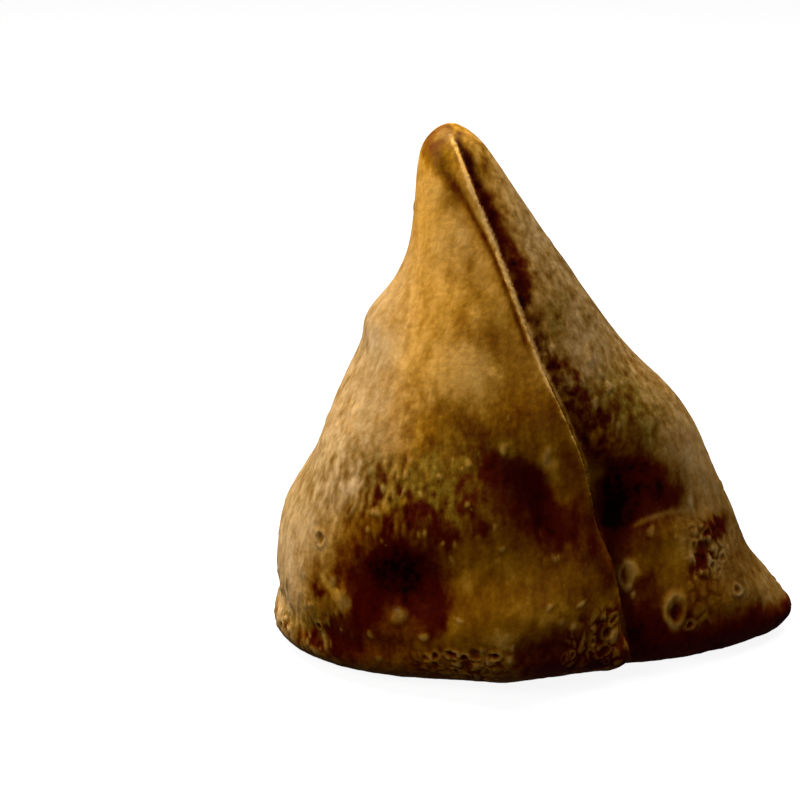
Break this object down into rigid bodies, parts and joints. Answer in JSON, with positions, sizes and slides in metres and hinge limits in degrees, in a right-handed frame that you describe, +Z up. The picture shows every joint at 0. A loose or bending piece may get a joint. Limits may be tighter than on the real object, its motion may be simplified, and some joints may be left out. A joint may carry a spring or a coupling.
{
  "type": "samosa",
  "caption": "Fried samosa standing upright: cone of crisp dough lapped down the front from the tip to a pinched, folded hem, with dented cheeks.",
  "frame": {"origin": "on the table under the middle of the samosa", "axes": "+Z up towards the tip, +X to the right along the hem's longer side, -Y towards the front, where the lap is"},
  "size_m": [0.0828, 0.0519, 0.0819],
  "materials": {
    "fried_crust": "golden brown fried wheat crust, slightly oily, pale on raised places and dark brown in dents and folds"
  },
  "bodies": {
    "root": {"samosa": "fried_crust"}
  },
  "joints": []
}
